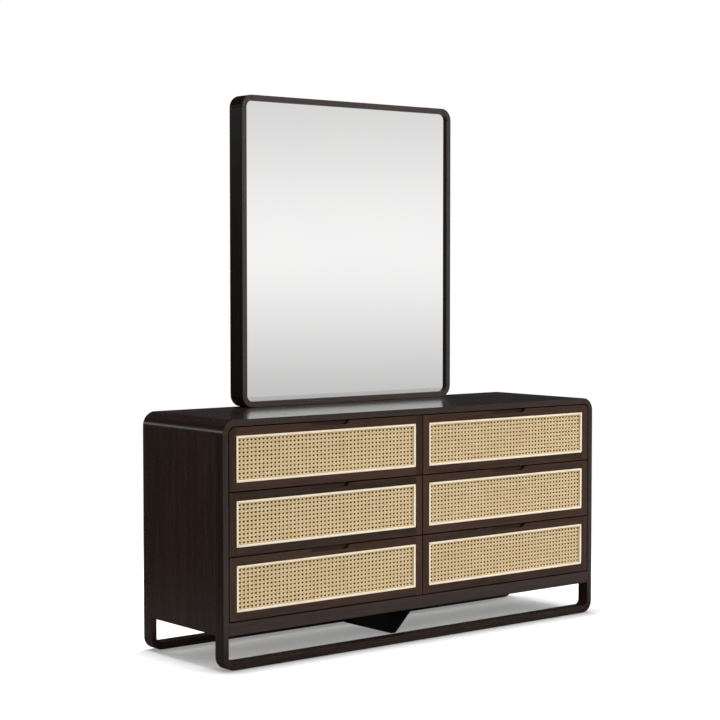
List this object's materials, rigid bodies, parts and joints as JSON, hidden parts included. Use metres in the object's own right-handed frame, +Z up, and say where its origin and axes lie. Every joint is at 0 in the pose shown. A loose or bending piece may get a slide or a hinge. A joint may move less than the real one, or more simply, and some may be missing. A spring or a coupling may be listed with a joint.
{
  "type": "dressing table",
  "caption": "Wide dark-stained chest of drawers on two closed floor loops, with cane drawer fronts in cream beads and a tall round-cornered mirror standing on its top.",
  "frame": {"origin": "on the floor, in the middle of the width and of the overall depth", "axes": "+Z up, +X along the width to the right seen from the front, the drawers open towards -Y"},
  "size_m": [1.6, 0.469, 1.8],
  "materials": {
    "espresso_case": "dark espresso stain, satin lacquer",
    "espresso_front": "dark espresso stain, satin lacquer",
    "cane": "woven rattan peel, natural",
    "cream_bead": "cream lacquer",
    "drawer_birch": "clear lacquered birch",
    "zinc_steel": "zinc plated",
    "black_foot": "black lacquer",
    "black_plastic": "moulded",
    "silvered_glass": "silvered plate glass"
  },
  "bodies": {
    "case": {"top_panel": "espresso_case", "left_corner_moulding": "espresso_case", "right_corner_moulding": "espresso_case", "left_side_panel": "espresso_case", "right_side_panel": "espresso_case", "front_posts": "espresso_case", "rear_posts": "espresso_case", "floor_rails": "espresso_case", "floor_corners": "espresso_case", "front_apron": "espresso_front", "rear_apron": "espresso_case", "bottom_panel": "drawer_birch", "back_panel": "espresso_case", "centre_partition": "drawer_birch", "centre_foot": "black_foot", "floor_glides": "black_plastic", "case_runners": "zinc_steel", "mirror_bars": "espresso_case", "mirror_corners": "espresso_case", "mirror_glass": "silvered_glass", "mirror_backing": "espresso_case", "mirror_supports": "espresso_case", "support_screws": "zinc_steel"},
    "left_top_drawer": {"left_top_front": "espresso_front", "left_top_cane": "cane", "left_top_bead": "cream_bead", "left_top_box": "drawer_birch", "left_top_runners": "zinc_steel"},
    "left_top_slides": {"left_top_slides": "zinc_steel"},
    "left_middle_drawer": {"left_middle_front": "espresso_front", "left_middle_cane": "cane", "left_middle_bead": "cream_bead", "left_middle_box": "drawer_birch", "left_middle_runners": "zinc_steel"},
    "left_middle_slides": {"left_middle_slides": "zinc_steel"},
    "left_bottom_drawer": {"left_bottom_front": "espresso_front", "left_bottom_cane": "cane", "left_bottom_bead": "cream_bead", "left_bottom_box": "drawer_birch", "left_bottom_runners": "zinc_steel"},
    "left_bottom_slides": {"left_bottom_slides": "zinc_steel"},
    "right_top_drawer": {"right_top_front": "espresso_front", "right_top_cane": "cane", "right_top_bead": "cream_bead", "right_top_box": "drawer_birch", "right_top_runners": "zinc_steel"},
    "right_top_slides": {"right_top_slides": "zinc_steel"},
    "right_middle_drawer": {"right_middle_front": "espresso_front", "right_middle_cane": "cane", "right_middle_bead": "cream_bead", "right_middle_box": "drawer_birch", "right_middle_runners": "zinc_steel"},
    "right_middle_slides": {"right_middle_slides": "zinc_steel"},
    "right_bottom_drawer": {"right_bottom_front": "espresso_front", "right_bottom_cane": "cane", "right_bottom_bead": "cream_bead", "right_bottom_box": "drawer_birch", "right_bottom_runners": "zinc_steel"},
    "right_bottom_slides": {"right_bottom_slides": "zinc_steel"}
  },
  "joints": [
    {"name": "left_top_drawer_slide", "type": "slide", "parent": "case", "child": "left_top_drawer", "axis": [0, -1, 0], "range_m": [0, 0.34]},
    {"name": "left_top_slides_follow", "type": "slide", "parent": "case", "child": "left_top_slides", "axis": [0, -1, 0], "range_m": [0, 0.17]},
    {"name": "left_middle_drawer_slide", "type": "slide", "parent": "case", "child": "left_middle_drawer", "axis": [0, -1, 0], "range_m": [0, 0.34]},
    {"name": "left_middle_slides_follow", "type": "slide", "parent": "case", "child": "left_middle_slides", "axis": [0, -1, 0], "range_m": [0, 0.17]},
    {"name": "left_bottom_drawer_slide", "type": "slide", "parent": "case", "child": "left_bottom_drawer", "axis": [0, -1, 0], "range_m": [0, 0.34]},
    {"name": "left_bottom_slides_follow", "type": "slide", "parent": "case", "child": "left_bottom_slides", "axis": [0, -1, 0], "range_m": [0, 0.17]},
    {"name": "right_top_drawer_slide", "type": "slide", "parent": "case", "child": "right_top_drawer", "axis": [0, -1, 0], "range_m": [0, 0.34]},
    {"name": "right_top_slides_follow", "type": "slide", "parent": "case", "child": "right_top_slides", "axis": [0, -1, 0], "range_m": [0, 0.17]},
    {"name": "right_middle_drawer_slide", "type": "slide", "parent": "case", "child": "right_middle_drawer", "axis": [0, -1, 0], "range_m": [0, 0.34]},
    {"name": "right_middle_slides_follow", "type": "slide", "parent": "case", "child": "right_middle_slides", "axis": [0, -1, 0], "range_m": [0, 0.17]},
    {"name": "right_bottom_drawer_slide", "type": "slide", "parent": "case", "child": "right_bottom_drawer", "axis": [0, -1, 0], "range_m": [0, 0.34]},
    {"name": "right_bottom_slides_follow", "type": "slide", "parent": "case", "child": "right_bottom_slides", "axis": [0, -1, 0], "range_m": [0, 0.17]}
  ],
  "couplings": [
    {"joint": "left_top_slides_follow", "follows": "left_top_drawer_slide", "ratio": 0.5},
    {"joint": "left_middle_slides_follow", "follows": "left_middle_drawer_slide", "ratio": 0.5},
    {"joint": "left_bottom_slides_follow", "follows": "left_bottom_drawer_slide", "ratio": 0.5},
    {"joint": "right_top_slides_follow", "follows": "right_top_drawer_slide", "ratio": 0.5},
    {"joint": "right_middle_slides_follow", "follows": "right_middle_drawer_slide", "ratio": 0.5},
    {"joint": "right_bottom_slides_follow", "follows": "right_bottom_drawer_slide", "ratio": 0.5}
  ]
}
